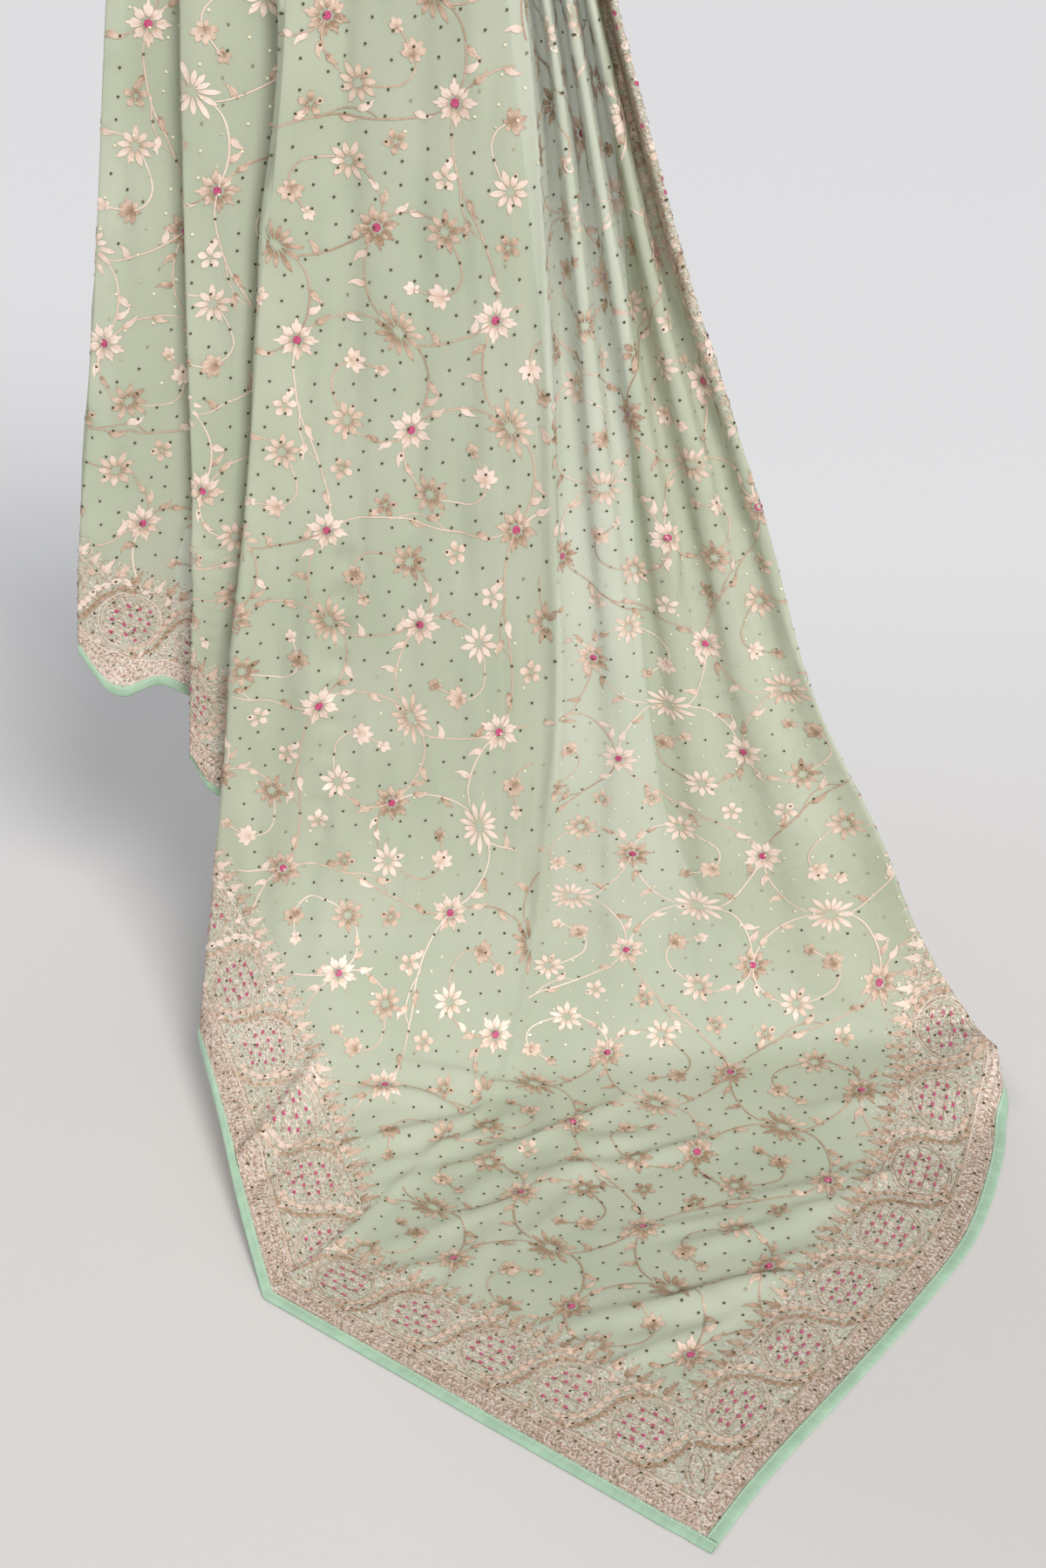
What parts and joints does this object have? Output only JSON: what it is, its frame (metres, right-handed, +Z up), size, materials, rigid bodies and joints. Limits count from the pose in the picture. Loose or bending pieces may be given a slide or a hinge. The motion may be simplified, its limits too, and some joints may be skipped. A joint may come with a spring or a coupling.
{
  "type": "hanging saree",
  "caption": "Long light green saree hanging from one hold, its bordered end opened out and laid on the floor, with the rest folded behind.",
  "frame": {"origin": "centre of the space under the cloth at the hold, where a hand or a rail carries it", "axes": "+Z up, -Y to the front where the end of the cloth lies on the floor, +X to the right seen from the front"},
  "size_m": [0.7652, 0.7475, 1.4736],
  "materials": {
    "cloth": "soft sheer",
    "piping": "satin"
  },
  "bodies": {
    "root": {"pallu_front_fall": "cloth", "fall_over_hold": "cloth", "rear_fall": "cloth", "tucked_stretch": "cloth", "end_piping": "piping", "right_edge_piping": "piping", "left_edge_piping": "piping"}
  },
  "joints": []
}
